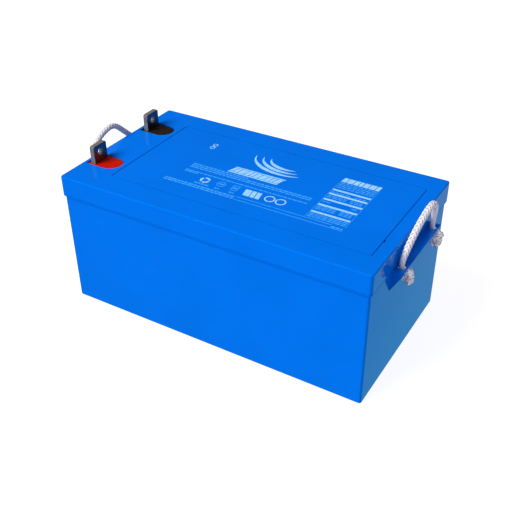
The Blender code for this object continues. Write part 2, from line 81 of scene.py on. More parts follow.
# Lid and the plate let into it
DECK = 0.005
COVER_SLIT = 0.0006
COVER_END_SLIT = 0.001
COVER_CORNER = 0.002
RECESS_DEPTH = 0.003
NOTCH_Y = -0.0568
NOTCH_RADIUS = 0.0035
POCKET_RADIUS = 0.0125
POCKET_WALL = 0.0025
POCKET_FLOOR = cap_low.z - 0.0008
BOSS_TOP = LID_TOP - DECK * 0.7
SLIT_WORN = 0.0002  # how much narrower the plate is at three edges, where the slit shows
CRISP_EDGE = 0.00035
GROOVE_MIDDLE = 0.0017  # how far the groove round the skirt is above its lower edge
GROOVE_DEPTH = 0.00035
GROOVE_FLOOR = 0.0002  # half its width at the bottom
GROOVE_MOUTH = 0.0007  # half its width at the surface

# Terminals and their wells
FLAG_X = (flag_low.x + flag_high.x) / 2
FLAG_Y = -(flag_low.y + flag_high.y) / 2
FLAG_HALF_X = (flag_high.x - flag_low.x) / 2
FLAG_HALF_Y = (flag_high.y - flag_low.y) / 2
FLAG_TOP = flag_high.z
FLAG_CHAMFER = 0.002
FLAG_EDGE = 0.0005
FOOT_INSET = 0.0002
BOLT_HOLE_RADIUS = 0.00525
BOLT_HOLE_Z = LID_TOP + 0.0142
STEM_RADIUS = 0.0036
WELL_LEFT = resin_low.x - GAP
WELL_RIGHT = resin_high.x + GAP
WELL_HALF_WIDTH = (resin_high.y - resin_low.y) / 2 + GAP
WELL_DEPTH = 0.0032
RESIN_TOP = resin_high.z
SOCKET_HALF_X = 0.0069
SOCKET_HALF_Y = 0.016
SOCKET_FLOOR = 0.1995
SOCKET_BASE = 0.003
SOCKET_WALL = 0.0018
FOOT_BOTTOM = SOCKET_FLOOR + 0.0024
STEM_TOP = SOCKET_FLOOR + 0.0034
# The resin's surface: how far each ring lies in from the metal or from the wall, and how far up
RESIN_CREEP = ((0.0, 0.00075), (0.0003, 0.00035), (0.0008, 0.0001), (0.0016, 0.0))
RESIN_SHRINK = ((0.0008, -0.0006), (0.0010, -0.0002), (0.0014, 0.0))

# Ledges
LEDGE_TOP = SKIRT_BOTTOM - GAP
LEDGE_PLATE = 0.0042
LEDGE_HALF_WIDTH = 0.067
LEDGE_TIP = 0.1465
GUSSET = 0.0025
ROPE_HOLE_RADIUS = 0.0056

# Ropes
ROPE_RADIUS = 0.0048
KNOT_ROPE_RADIUS = 0.0045
ROPE_X = 0.2527
ROPE_Y = 0.0544
SWING_Z = SKIRT_BOTTOM + 0.008
ROPE_FOOT = -0.0125
KNOT_X = 0.2604
FRONT_KNOT_Y = -0.0475
BACK_KNOT_Y = 0.0538
RIGHT_KNOT_Z = 0.1661
LEFT_KNOT_Z = 0.1585

# Each loop's route from hole to hole: outwards from the holes, along the end, and up from the swing axis
RIGHT_LOOP = [
    (0.0000, -0.0540, 0.0000),
    (0.0012, -0.0490, 0.0110),
    (0.0025, -0.0398, 0.0216),
    (0.0036, -0.0283, 0.0311),
    (0.0048, -0.0152, 0.0393),
    (0.0059, 0.0000, 0.0455),
    (0.0066, 0.0110, 0.0482),
    (0.0070, 0.0199, 0.0476),
    (0.0064, 0.0290, 0.0418),
    (0.0050, 0.0380, 0.0300),
    (0.0026, 0.0460, 0.0150),
    (0.0000, 0.0526, 0.0000),
]
LEFT_LOOP = [
    (0.0000, -0.0530, 0.0000),
    (0.0026, -0.0495, 0.0090),
    (0.0062, -0.0410, 0.0208),
    (0.0088, -0.0306, 0.0308),
    (0.0090, -0.0205, 0.0366),
    (0.0086, -0.0103, 0.0405),
    (0.0080, 0.0004, 0.0425),
    (0.0080, 0.0105, 0.0405),
    (0.0082, 0.0190, 0.0350),
    (0.0078, 0.0292, 0.0256),
    (0.0058, 0.0392, 0.0155),
    (0.0026, 0.0485, 0.0065),
    (0.0000, 0.0530, 0.0000),
]
# How wide each rope is along its length from its front hole: it is drawn thin where it is pulled tight
RIGHT_WIDTHS = ((0.0, 0.68), (0.06, 0.74), (0.16, 1.0), (0.68, 1.0), (0.82, 0.80), (1.0, 0.70))
LEFT_WIDTHS = ((0.0, 0.90), (0.15, 1.0), (0.85, 1.0), (1.0, 0.90))
# Each knot: the three-lobed curve of an overhand knot, open at its top, and the tail that leaves it
KNOT_LOBE = 0.0025
KNOT_DEPTH = 0.0046
KNOT_FROM, KNOT_TO = math.radians(75), math.radians(365)
KNOT_STEPS = 26
KNOT_TAIL = ((0.0040, -0.0020, -0.0048), (0.0005, -0.0075, -0.0066))

# Braid
STRANDS = 5  # wound each way
BRAID_PITCH = 0.029
BRAID_FLOATS = 2
BRAID_STEP = 0.0011
STRAND_HALF_WIDTH = 0.00185
STRAND_HALF_THICKNESS = 0.00100
STRAND_SIDES = 8
WEAVE_LIFT = 0.00055
WEAVE_STEEPNESS = 1.6  # how quickly a strand goes from over to under
# The core is given the turns from this one on, so all of it takes the painted shade of the creases
UNDERSIDE = 0.6  # the turn of a strand from which all of it faces inwards

# The blue plastic, and the painted shade in the slit round the cover plate and in the skirt's groove: how high
# it lies, how far it reaches from there, and how dark it is
BLUE = ((0.0, 0.157, 0.715), (0.0, 0.167, 0.76))
SKIN_DEPTH = 0.00003
PAINTED_SHADE_COLOUR = (0.0, 0.02, 0.22)
SLIT_PAINTED_SHADE = (cover_high.z - 0.0003, 0.00026, 0.85)
GROOVE_PAINTED_SHADE = (SKIRT_BOTTOM + GROOVE_MIDDLE, 0.0008, 0.45)

# The printed emblem: three strokes round one middle, each a smaller copy of the points in degrees with widths
EMBLEM_X, EMBLEM_Y = 0.0260, 0.0670
EMBLEM_HALF_X, EMBLEM_HALF_Y = 0.058, 0.038
EMBLEM_SIZES = (1.0, 0.78, 0.56)
EMBLEM_STROKE = (
    (183, 0.0006),
    (205, 0.0030),
    (230, 0.0056),
    (255, 0.0060),
    (280, 0.0034),
    (300, 0.0006),
)

# The printed table of figures
TABLE_LEFT = 0.1125
TABLE_RIGHT = 0.1700
TABLE_BANDS = (0.0296, 0.0172, 0.0003, -0.0163, -0.0369)
# Its rows of small print: how many columns each has, and its height on the plate
TABLE_ROWS = (
    (1, 0.0505),
    (1, 0.0460),
    (1, 0.0415),
    (1, 0.0370),
    (2, 0.0215),
    (2, 0.0100),
    (2, 0.0060),
    (3, -0.0080),
    (2, -0.0220),
    (2, -0.0258),
    (2, -0.0296),
    (1, -0.0435),
    (1, -0.0475),
    (1, -0.0515),
)

# Camera, measured from the object's own edges
CAMERA_AZIMUTH = math.radians(31.21)
CAMERA_ELEVATION = math.radians(34.38)
CAMERA_ROLL = math.radians(-0.55)
CAMERA_DISTANCE = 1.2614
CAMERA_RISE = 0.0649
CAMERA_LENS = 56.02

# Lights
LIGHT_PLACE = (-3.4, -5.0, 6.2)
LIGHT_SIZE = 5.0
KEY_POWER = 750.0
GLINT_POWER = 150.0

# The room: as it is seen, as it lights the battery from below and above, and as the battery reflects it
ROOM_SEEN = (1.0, 1.0, 1.0, 1.0)
LIGHT_BELOW = (0.64, 0.66, 0.80, 1.0)
LIGHT_ABOVE = (0.30, 0.29, 0.37, 1.0)
REFLECTED_FRONT = (0.03, 0.04, 0.05, 1.0)
REFLECTED_BACK_LOW = (0.14, 0.53, 0.62, 1.0)
REFLECTED_BACK_HIGH = (0.32, 0.50, 0.54, 1.0)
REFLECTED_ABOVE = (0.02, 0.02, 0.02, 1.0)

# Cells: column, and row as the sign of y
CELLS = [(-1, -1), (0, -1), (1, -1), (1, 1), (0, 1), (-1, 1)]


# Camera


def make_camera():
    az, el, roll = CAMERA_AZIMUTH, CAMERA_ELEVATION, CAMERA_ROLL
    back = Vector((math.sin(az) * math.cos(el), -math.cos(az) * math.cos(el), math.sin(el)))
    right = Vector((math.cos(az), math.sin(az), 0.0))
    up = back.cross(right)
    turned_right = math.cos(roll) * right + math.sin(roll) * up
    turned_up = math.cos(roll) * up - math.sin(roll) * right
    camera = bpy.data.objects.new("camera", bpy.data.cameras.new("camera"))
    camera.data.sensor_width = 36.0
    camera.data.lens = CAMERA_LENS
    camera.data.clip_start = 0.05
    camera.data.clip_end = 50.0
    bpy.context.scene.collection.objects.link(camera)
    matrix = camera.matrix_world.copy()
    for column, axis in enumerate((turned_right, turned_up, back)):
        for row in range(3):
            matrix[row][column] = axis[row]
    matrix.translation = CAMERA_DISTANCE * back + CAMERA_RISE * up
    camera.matrix_world = matrix
    bpy.context.scene.camera = camera


# Materials


class Look:
    """A material whose nodes are put together step by step."""

    def __init__(self, name, **uniform):
        self.material = bpy.data.materials.new(name)
        self.material.use_nodes = True
        self.nodes = self.material.node_tree.nodes
        self.links = self.material.node_tree.links
        self.shader = self.nodes["Principled BSDF"]
        for socket, value in uniform.items():
            self.shader.inputs[socket.replace("_", " ")].default_value = value

    def node(self, kind, inputs=None, **settings):
        made = self.nodes.new(kind)
        for key, value in settings.items():
            setattr(made, key, value)
        for socket, value in (inputs or {}).items():
            if isinstance(value, bpy.types.NodeSocket):
                self.links.new(value, made.inputs[socket])
            else:
                made.inputs[socket].default_value = value
        return made

    def math(self, operation, *values):
        return self.node("ShaderNodeMath", dict(enumerate(values)), operation=operation).outputs[0]

    def feed(self, socket, value):
        self.links.new(value, self.shader.inputs[socket])

    def place(self, stretch=(1.0, 1.0, 1.0), source="Object"):
        """Coordinates, multiplied along each axis."""
        where = self.node("ShaderNodeTexCoord").outputs[source]
        return self.node("ShaderNodeMapping", {"Vector": where, "Scale": stretch}).outputs["Vector"]

    def noise(self, size, detail=2.0, place=None, roughness=0.5):
        """Noise whose patches are about this size, in metres."""
        settings = {"Scale": 1.0 / size, "Detail": detail, "Roughness": roughness}
        made = self.node("ShaderNodeTexNoise", {"Vector": place or self.place(), **settings})
        return made.outputs["Fac"]

    def shift(self, value, low, high, start=0.0, end=1.0):
        """The value's range from start to end, stretched to the range from low to high."""
        sockets = {"Value": value, "From Min": start, "From Max": end, "To Min": low, "To Max": high}
        return self.node("ShaderNodeMapRange", sockets).outputs["Result"]

    def blend(self, amount, first, second):
        """From the first colour to the second."""
        made = self.node("ShaderNodeMix", data_type="RGBA")
        for socket, value in ((0, amount), (6, first), (7, second)):
            if isinstance(value, bpy.types.NodeSocket):
                self.links.new(value, made.inputs[socket])
            else:
                made.inputs[socket].default_value = (*value, 1.0)
        return made.outputs[2]

    def bump(self, height, depth, strength=1.0, under=None):
        made = self.node("ShaderNodeBump", {"Height": height, "Distance": depth, "Strength": strength})
        if under:
            self.links.new(under, made.inputs["Normal"])
        return made.outputs["Normal"]


def moulded_plastic(name, roughness, grime_and_painted_shade=None, groove=False):
    """Glossy moulded plastic: slight flow mottling, faint ripple in the skin, handling marks in its gloss.

    Painted shade darkens it from one height down, where shade falls into a slit, or at that height alone, where
    it falls into a groove.
    """
    look = Look(name, IOR=1.46, Specular_Tint=(0.0, 0.9, 1.0, 1.0))
    flow = look.noise(0.09, 3.0)
    colour = look.blend(look.shift(flow, 0.0, 1.0, 0.35, 0.65), *BLUE)
    # painted shade: a darker blue from just below the top of the slit round the cover plate, and in a band at
    # the skirt's groove
    if grime_and_painted_shade:
        height, reach, amount = grime_and_painted_shade
        here = look.node("ShaderNodeSeparateXYZ", {"Vector": look.place()}).outputs["Z"]
        distance = look.math("SUBTRACT", here, height)
        if groove:
            distance = look.math("ABSOLUTE", distance)
        colour = look.blend(look.shift(distance, amount, 0.0, 0.0, reach), colour, PAINTED_SHADE_COLOUR)
    look.feed("Base Color", colour)
    smear = look.noise(0.012, 4.0, look.place((1.0, 0.3, 1.0)))
    look.feed("Roughness", look.shift(smear, roughness * 0.7, roughness * 1.5, 0.3, 0.75))
    ripple = look.bump(look.noise(0.030, 1.0), SKIN_DEPTH * 8, 0.25)
    look.feed("Normal", look.bump(look.noise(0.0016, 2.0), SKIN_DEPTH, 0.4, ripple))
    return look.material


def poured_resin(name, dark, light):
    """Poured resin: clouded colour, a liquid-smooth skin, and a few pinholes left by bubbles."""
    look = Look(name, IOR=1.55)
    cloud = look.noise(0.010, 3.0)
    look.feed("Base Color", look.blend(look.shift(cloud, 0.0, 1.0, 0.3, 0.7), dark, light))
    look.feed("Roughness", look.shift(look.noise(0.006, 2.0), 0.06, 0.16, 0.3, 0.7))
    pins = look.node("ShaderNodeTexVoronoi", {"Vector": look.place(), "Scale": 260.0}).outputs["Distance"]
    pinholes = look.bump(look.shift(pins, 0.0, 1.0, 0.02, 0.10), 0.00015, 0.5)
    look.feed("Normal", look.bump(look.noise(0.007, 1.0), 0.0002, 0.35, pinholes))
    return look.material


def plated_metal(name):
    """Tinned metal: smooth, darkly mirroring faces, paler ground edges, and a browner, duller top."""
    look = Look(name)
    facing = look.node("ShaderNodeNewGeometry").outputs["Normal"]
    parts = look.node("ShaderNodeSeparateXYZ", {"Vector": facing}).outputs
    top = look.shift(parts["Z"], 0.0, 1.0, 0.55, 0.85)
    broad = look.math("ABSOLUTE", parts["X"])
    tarnish = look.noise(0.004, 4.0)
    stain = look.shift(tarnish, 0.0, 1.0, 0.4, 0.75)
    face = look.blend(stain, (0.19, 0.18, 0.18), (0.12, 0.11, 0.105))
    edge = look.blend(stain, (0.28, 0.28, 0.27), (0.15, 0.145, 0.14))
    sides = look.blend(look.shift(broad, 0.0, 1.0, 0.75, 0.95), edge, face)
    sawn = look.blend(tarnish, (0.20, 0.155, 0.14), (0.34, 0.28, 0.25))
    look.feed("Metallic", look.shift(broad, 0.35, 1.0, 0.75, 0.95))
    look.feed("Base Color", look.blend(top, sides, sawn))
    lines = look.noise(0.0005, 3.0, look.place((1.0, 0.05, 1.0)))
    dull = look.shift(top, 0.08, 0.28)
    look.feed("Roughness", look.math("ADD", look.shift(lines, 0.10, 0.22, 0.3, 0.7), dull))
    look.feed("Normal", look.bump(lines, 0.00003, 0.4, look.bump(tarnish, 0.00008, 0.3)))
    return look.material


def braided_fibre(name, dull, bright, painted_crease_shade):
    """White polyester: filaments along each strand, grime here and there, and painted shade in the creases
    between strands.
    """
    look = Look(name, Roughness=0.75, Sheen_Weight=0.2, Sheen_Roughness=0.45)
    threads = look.noise(1.0, 3.0, look.place((7.0, 900.0, 1.0), "UV"))
    hairs = look.noise(1.0, 2.0, look.place((26.0, 160.0, 1.0), "UV"))
    yarn = look.blend(look.shift(threads, 0.0, 1.0, 0.3, 0.7), dull, bright)
    grime_and_painted_shade = look.shift(look.noise(0.016, 3.0), 0.0, 0.5, 0.45, 0.85)
    dirty = look.blend(grime_and_painted_shade, yarn, (0.66, 0.62, 0.60))
    # painted shade: away from its top, each strand is darkened to the crease colour, and the core is darkened
    # all over, where shade falls between strands
    turn = look.node("ShaderNodeSeparateXYZ", {"Vector": look.place(source="UV")}).outputs["X"]
    side = look.math("ABSOLUTE", look.math("SUBTRACT", look.math("FRACT", turn), 0.25))
    look.feed("Base Color", look.blend(look.shift(side, 0.0, 1.0, 0.13, 0.24), dirty, painted_crease_shade))
    look.feed("Normal", look.bump(hairs, 0.00025, 0.8, look.bump(threads, 0.0002, 0.5)))
    return look.material


def cured_resin(name, colour):
    """Resin left rough where it set: clouded and uneven."""
    look = Look(name)
    cloud = look.noise(0.008, 3.0)
    paler = tuple(channel * 1.6 for channel in colour)
    look.feed("Base Color", look.blend(look.shift(cloud, 0.0, 1.0, 0.3, 0.7), colour, paler))
    look.feed("Roughness", look.shift(cloud, 0.35, 0.6))
    look.feed("Normal", look.bump(look.noise(0.003, 2.0), 0.0003, 0.5))
    return look.material


def moulded_rubber(name):
    """Matte black rubber with a bloom of dust."""
    look = Look(name)
    dust = look.noise(0.004, 4.0)
    dusty = look.shift(dust, 0.0, 1.0, 0.45, 0.8)
    look.feed("Base Color", look.blend(dusty, (0.014, 0.014, 0.015), (0.05, 0.05, 0.05)))
    look.feed("Roughness", look.shift(dust, 0.55, 0.8))
    look.feed("Normal", look.bump(look.noise(0.0006, 2.0), 0.00005, 0.6))
    return look.material


def pasted_lead(name, dark, light, metallic):
    """A battery plate: paste pressed into a cast grid, whose bars show through as a fine ladder."""
    look = Look(name, Metallic=metallic)
    sockets = {"Vector": look.place(), "Scale": 55.0, "Distortion": 0.6}
    bars = look.node("ShaderNodeTexWave", sockets, bands_direction="Z").outputs["Fac"]
    grain = look.noise(0.0015, 4.0)
    look.feed("Base Color", look.blend(look.shift(grain, 0.0, 1.0, 0.3, 0.7), dark, light))
    look.feed("Roughness", look.shift(grain, 0.5, 0.85))
    look.feed("Normal", look.bump(bars, 0.0004, 0.5, look.bump(grain, 0.0003, 0.7)))
    return look.material


def cast_lead(name):
    """Bright cast lead, greyed in patches."""
    look = Look(name, Metallic=0.9)
    bloom = look.noise(0.006, 4.0)
    greyed = look.shift(bloom, 0.0, 1.0, 0.35, 0.7)
    look.feed("Base Color", look.blend(greyed, (0.40, 0.41, 0.43), (0.25, 0.26, 0.28)))
    look.feed("Roughness", look.shift(bloom, 0.3, 0.6))
    look.feed("Normal", look.bump(look.noise(0.002, 3.0), 0.0002, 0.6))
    return look.material


def glass_mat(name):
    """Felt of fine glass fibres, laid mostly across."""
    look = Look(name, Roughness=0.95, Sheen_Weight=0.2)
    felt = look.noise(0.0008, 5.0, look.place((1.0, 1.0, 0.4)), 0.7)
    packed = look.shift(felt, 0.0, 1.0, 0.3, 0.7)
    look.feed("Base Color", look.blend(packed, (0.74, 0.74, 0.71), (0.90, 0.90, 0.88)))
    look.feed("Normal", look.bump(felt, 0.0003, 0.8))
    return look.material


def printed_ink(name, thin, full):
    """Screen-printed ink, thin in places so that more of the blue shows through."""
    look = Look(name, IOR=1.45)
    cover = look.noise(0.0012, 4.0)
    look.feed("Base Color", look.blend(look.shift(cover, 0.0, 1.0, 0.35, 0.6), thin, full))
    look.feed("Roughness", look.shift(cover, 0.25, 0.4))
    look.feed("Normal", look.bump(cover, 0.00002, 0.4))
    return look.material


# Outlines, counter-clockwise


def rectangle(x0, x1, y0, y1):
    return [(x0, y0), (x1, y0), (x1, y1), (x0, y1)]


def rounded_rectangle(x0, x1, y0, y1, radius, steps=10):
    points = []
    for x, y, start in ((x1, y0, -90), (x1, y1, 0), (x0, y1, 90), (x0, y0, 180)):
        centre_x = x - math.copysign(radius, x - (x0 + x1) / 2)
        centre_y = y - math.copysign(radius, y - (y0 + y1) / 2)
        for step in range(steps + 1):
            angle = math.radians(start + 90 * step / steps)
            points.append((centre_x + radius * math.cos(angle), centre_y + radius * math.sin(angle)))
    return points


def rounded_plan(half_x, half_y, radius):
    return rounded_rectangle(-half_x, half_x, -half_y, half_y, radius)


def disc(x, y, radius, sides=32):
    turns = [2 * math.pi * (side + 0.5) / sides for side in range(sides)]
    return [(x + radius * math.cos(turn), y + radius * math.sin(turn)) for turn in turns]


def well_outline(y, margin=0.0, steps=28):
    """The D of a terminal's well: square at its left end and half round at its right end."""
    half = WELL_HALF_WIDTH - margin
    centre = WELL_RIGHT - WELL_HALF_WIDTH
    turns = [math.pi * (step / steps - 0.5) for step in range(steps + 1)]
    bow = [(centre + half * math.cos(turn), y + half * math.sin(turn)) for turn in turns]
    return [(WELL_LEFT + margin, y - half), *bow, (WELL_LEFT + margin, y + half)]


# Solids


def object_of(shape, name):
    mesh = bpy.data.meshes.new(name)
    shape.to_mesh(mesh)
    shape.free()
    made = bpy.data.objects.new(name, mesh)
    bpy.context.scene.collection.objects.link(made)
    return made


def add_rings(shape, rings):
    """Adds a closed solid through rings of points, each ring with as many points as the last."""
    rows = [[shape.verts.new(point) for point in ring] for ring in rings]
    for low, high in zip(rows, rows[1:]):
        for i in range(len(low)):
            j = (i + 1) % len(low)
            shape.faces.new((low[i], low[j], high[j], high[i]))
    shape.faces.new(reversed(rows[0]))
    shape.faces.new(rows[-1])


def stacked(rings, name="solid"):
    shape = bmesh.new()
    add_rings(shape, rings)
    return object_of(shape, name)


def upright(outline, bottom, top):
    return stacked([[(x, y, z) for x, y in outline] for z in (bottom, top)])


def along_x(outline, low, high):
    """An outline in (y, z), extruded along X."""
    return stacked([[(x, y, z) for y, z in outline] for x in (low, high)])


def along_y(outline, low, high):
    """An outline in (z, x), extruded along Y."""
    return stacked([[(x, y, z) for z, x in outline] for y in (low, high)])


def block(x0, x1, y0, y1, z0, z1):
    return upright(rectangle(x0, x1, y0, y1), z0, z1)


def baked(made):
    """Applies an object's modifiers."""
    graph = bpy.context.evaluated_depsgraph_get()
    result = bpy.data.meshes.new_from_object(made.evaluated_get(graph))
    made.modifiers.clear()
    made.data = result
    return made


def combine(target, tools, operation):
    """Adds several solids to the target or cuts them away, and removes them."""
    shape = bmesh.new()
    for tool in tools:
        shape.from_mesh(tool.data)
    joined = object_of(shape, "tools")
    modifier = target.modifiers.new("combine", "BOOLEAN")
    modifier.object = joined
    modifier.operation = operation
    baked(target)
    for tool in (joined, *tools):
        bpy.data.objects.remove(tool)


def add(target, *tools):
    combine(target, tools, "UNION")


def cut(target, *tools):
    combine(target, tools, "DIFFERENCE")


def soften(target, width, segments=2, above=40):
    """Rounds every edge that turns by more than this many degrees."""
    modifier = target.modifiers.new("soften", "BEVEL")
    modifier.width = width
    modifier.segments = segments
    modifier.limit_method = "ANGLE"
    modifier.angle_limit = math.radians(above)
    modifier.use_clamp_overlap = True
    baked(target)


def rounding(steps=8):
    """How far each ring of a rounded edge lies in from the side and down from the face."""
    for step in range(steps + 1):
        turn = math.pi / 2 * step / steps
        yield EDGE_ROUNDING * (1 - math.cos(turn)), EDGE_ROUNDING * (1 - math.sin(turn))


def dress(made, name, look, body="battery", smooth_below=35):
    """Names a finished piece, gives it its material and smooth shading, and puts it on its body."""
    made.name = name
    made.data.name = name
    made.data.materials.clear()
    made.data.materials.append(look)
    made.data.shade_smooth()
    made.data.set_sharp_from_angle(angle=math.radians(smooth_below))
    weigh = made.modifiers.new("weigh", "WEIGHTED_NORMAL")
    weigh.keep_sharp = True
    weigh.weight = 100
    baked(made)
    if body:
        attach(made, body)
    return made


# Ropes


def smooth_route(points, steps=12):
    """Points along the smooth curve through the route's own points."""
    ends = [2 * points[0] - points[1], *points, 2 * points[-1] - points[-2]]
    route = []
    for a, b, c, d in zip(ends, ends[1:], ends[2:], ends[3:]):
        for step in range(steps):
            t = step / steps
            bend = (2 * a - 5 * b + 4 * c - d) * t * t + (3 * b - a - 3 * c + d) * t**3
            route.append((2 * b + (c - a) * t + bend) / 2)
    return [*route, points[-1]]


def length_of(route):
    return sum((b - a).length for a, b in zip(route, route[1:]))


def evenly(route, step):
    """Points at even distances along a route, as close to this step as its length allows."""
    count = max(2, round(length_of(route) / step))
    spacing = length_of(route) / count
    spaced, walked, index = [route[0]], 0.0, 0
    for target in range(1, count):
        while walked + (route[index + 1] - route[index]).length < target * spacing:
            walked += (route[index + 1] - route[index]).length
            index += 1
        part = (target * spacing - walked) / (route[index + 1] - route[index]).length
        spaced.append(route[index].lerp(route[index + 1], part))
    return [*spaced, route[-1]]


def along(points):
    """The direction of the line at each of its points."""
    ends = [points[0], *points, points[-1]]
    return [(after - before).normalized() for before, after in zip(ends, ends[2:])]


def untwisted(points):
    """Two directions across the line at each point, which follow it round bends without twisting."""
    ways = along(points)
    across = ways[0].orthogonal().normalized()
    frames = []
    for way in ways:
        across = (across - across.dot(way) * way).normalized()
        frames.append((across, way.cross(across)))
    return frames


def add_strand(shape, centres, outwards, half_width, half_thickness, sides, run, turn_share=1.0):
    """Adds one flattened strand. Its texture coordinates are its turn, 0.25 on top, and its length."""
    uv = shape.loops.layers.uv.verify()
    rows = []
    for centre, way, outward in zip(centres, along(centres), outwards):
        sideways = way.cross(outward).normalized()
        lift = sideways.cross(way)
        row = []
        for side in range(sides):
            turn = 2 * math.pi * side / sides
            offset = sideways * math.cos(turn) * half_width + lift * math.sin(turn) * half_thickness
            row.append(shape.verts.new(centre + offset))
        rows.append(row)
    for i, (low, high) in enumerate(zip(rows, rows[1:])):
        for j in range(sides):
            k = (j + 1) % sides
            face = shape.faces.new((low[j], high[j], high[k], low[k]))
            places = ((j, i), (j, i + 1), (j + 1, i + 1), (j + 1, i))
            for loop, (u, v) in zip(face.loops, places):
                loop[uv].uv = (turn_share * u / sides + run, v * BRAID_STEP)
    shape.faces.new(rows[0])
    shape.faces.new(reversed(rows[-1]))


def width_at(part, widths):
    """The width at this part of the length, from (part, width) pairs in order."""
    for (start, first), (end, second) in zip(widths, widths[1:]):
        if part <= end:
            return first + (second - first) * (part - start) / (end - start)
    return widths[-1][1]


def braid(route, radius, name, widths=((0.0, 1.0), (1.0, 1.0))):
    """A braided rope along a route: strands wound both ways that pass over and under each other."""
    points = evenly(route, BRAID_STEP)
    frames = untwisted(points)
    slimming = [width_at(i / (len(points) - 1), widths) for i in range(len(points))]
    middle = radius - STRAND_HALF_THICKNESS - WEAVE_LIFT
    shape = bmesh.new()
    for way in (-1, 1):
        for strand in range(STRANDS):
            centres, outwards = [], []
            for i, (point, (across, over)) in enumerate(zip(points, frames)):
                turn = 2 * math.pi * (way * i * BRAID_STEP / BRAID_PITCH + strand / STRANDS)
                outward = math.cos(turn) * across + math.sin(turn) * over
                wave = WEAVE_STEEPNESS * math.cos(BRAID_FLOATS * turn)
                lift = way * WEAVE_LIFT * max(-1.0, min(1.0, wave))
                centres.append(point + outward * (middle + lift) * slimming[i])
                outwards.append(outward)
            thickness = STRAND_HALF_THICKNESS
            add_strand(shape, centres, outwards, STRAND_HALF_WIDTH, thickness, STRAND_SIDES, strand * way)
    core = [across for across, _ in frames]
    core_radius = (middle - WEAVE_LIFT) * min(slimming)
    add_strand(shape, points, core, core_radius, core_radius, 2 * STRAND_SIDES, UNDERSIDE, 1 - UNDERSIDE)
    return object_of(shape, name)


def knot_turns():
    """An overhand knot's turns, from its middle: outwards, towards the other hole, and up."""
    for step in range(KNOT_STEPS + 1):
        t = KNOT_FROM + (KNOT_TO - KNOT_FROM) * step / KNOT_STEPS
        across, up = math.sin(t) + 2 * math.sin(2 * t), math.cos(t) - 2 * math.cos(2 * t)
        yield KNOT_LOBE * across, KNOT_DEPTH * math.sin(3 * t), KNOT_LOBE * up


def make_rope(name, side, loop, widths, knot_z, rope_look, knot_look_painted_light):
    """A handle: the loop that swings, and a knot under each of its holes that stays with the battery."""
    for label, end, knot_y in (("front", -1, FRONT_KNOT_Y), ("back", 1, BACK_KNOT_Y)):
        middle = Vector((side * KNOT_X, knot_y, knot_z))
        hole = Vector((side * ROPE_X, end * ROPE_Y, LEDGE_TOP - LEDGE_PLATE / 2))
        turns = [middle + Vector((side * out, -end * inward, up)) for out, inward, up in knot_turns()]
        tail = [middle + Vector((side * out, y, up)) for out, y, up in KNOT_TAIL]
        route = smooth_route([hole, *turns, *tail], 6)
        knot = braid(route, KNOT_ROPE_RADIUS, "knot")
        dress(knot, f"knot_{name}_{label}", knot_look_painted_light, smooth_below=80)
        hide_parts(f"rope_knot_{name}_{label}")
    points = [(0.0, -ROPE_Y, ROPE_FOOT), *loop, (0.0, ROPE_Y, ROPE_FOOT)]
    axis = Vector((side * ROPE_X, 0.0, SWING_Z))
    route = smooth_route([axis + Vector((side * out, y, up)) for out, y, up in points])
    rope = dress(braid(route, ROPE_RADIUS, "rope", widths), f"rope_{name}", rope_look, None, 80)
    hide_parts(f"rope_handle_{name}")
    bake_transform(rope)


# Case and lid


def add_ledge(case, side):
    """The ledge across one end wall: a plate with two rope holes, and a gusset at each end."""
    wall, lip = side * (CASE_HALF_X - OVERLAP), side * LEDGE_OUT
    inner, outer = sorted((wall, lip))
    underside = LEDGE_TOP - LEDGE_PLATE
    add(case, block(inner, outer, -LEDGE_HALF_WIDTH, LEDGE_HALF_WIDTH, underside, LEDGE_TOP))
    top = LEDGE_TOP - OVERLAP
    gusset = [(LEDGE_TIP, wall), (underside, lip), (top, lip), (top, wall)]
    if side < 0:
        gusset.reverse()
    for end in (-1, 1):
        near, far = sorted((end * (LEDGE_HALF_WIDTH - GUSSET), end * LEDGE_HALF_WIDTH))
        add(case, along_y(gusset, near, far))
    holes = [disc(side * ROPE_X, end * ROPE_Y, ROPE_HOLE_RADIUS) for end in (-1, 1)]
    cut(case, *[upright(hole, underside - CLEAR, LEDGE_TOP + CLEAR) for hole in holes])


def cell_cavity(cell):
    column, row = cell
    half = PARTITION / 2
    x0, x1 = {
        -1: (-CASE_HALF_X + CASE_WALL, -COLUMN_EDGE - half),
        0: (-COLUMN_EDGE + half, COLUMN_EDGE - half),
        1: (COLUMN_EDGE + half, CASE_HALF_X - CASE_WALL),
    }[column]
    y0, y1 = sorted((row * half, row * (CASE_HALF_Y - CASE_WALL)))
    return block(x0, x1, y0, y1, CASE_FLOOR, CASE_RIM + CLEAR)


def make_case(look):
    outlines = []
    for inset, height in rounding():
        plan = rounded_plan(CASE_HALF_X - inset, CASE_HALF_Y - inset, CASE_CORNER - inset)
        outlines.append((plan, height))
    levels = [*outlines[::-1], (outlines[0][0], CASE_RIM)]
    case = stacked([[(x, y, z) for x, y in outline] for outline, z in levels])
    for side in (-1, 1):
        add_ledge(case, side)
    soften(case, SOFT_EDGE, 3)
    cut(case, *[cell_cavity(cell) for cell in CELLS])
    dress(case, "case_shell", look)
    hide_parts("case")


def cell_middles():
    column_x = (CASE_HALF_X - CASE_WALL + COLUMN_EDGE + PARTITION / 2) / 2
    row_y = (CASE_HALF_Y - CASE_WALL + PARTITION / 2) / 2
    return [(column * column_x, row * row_y) for column, row in CELLS]


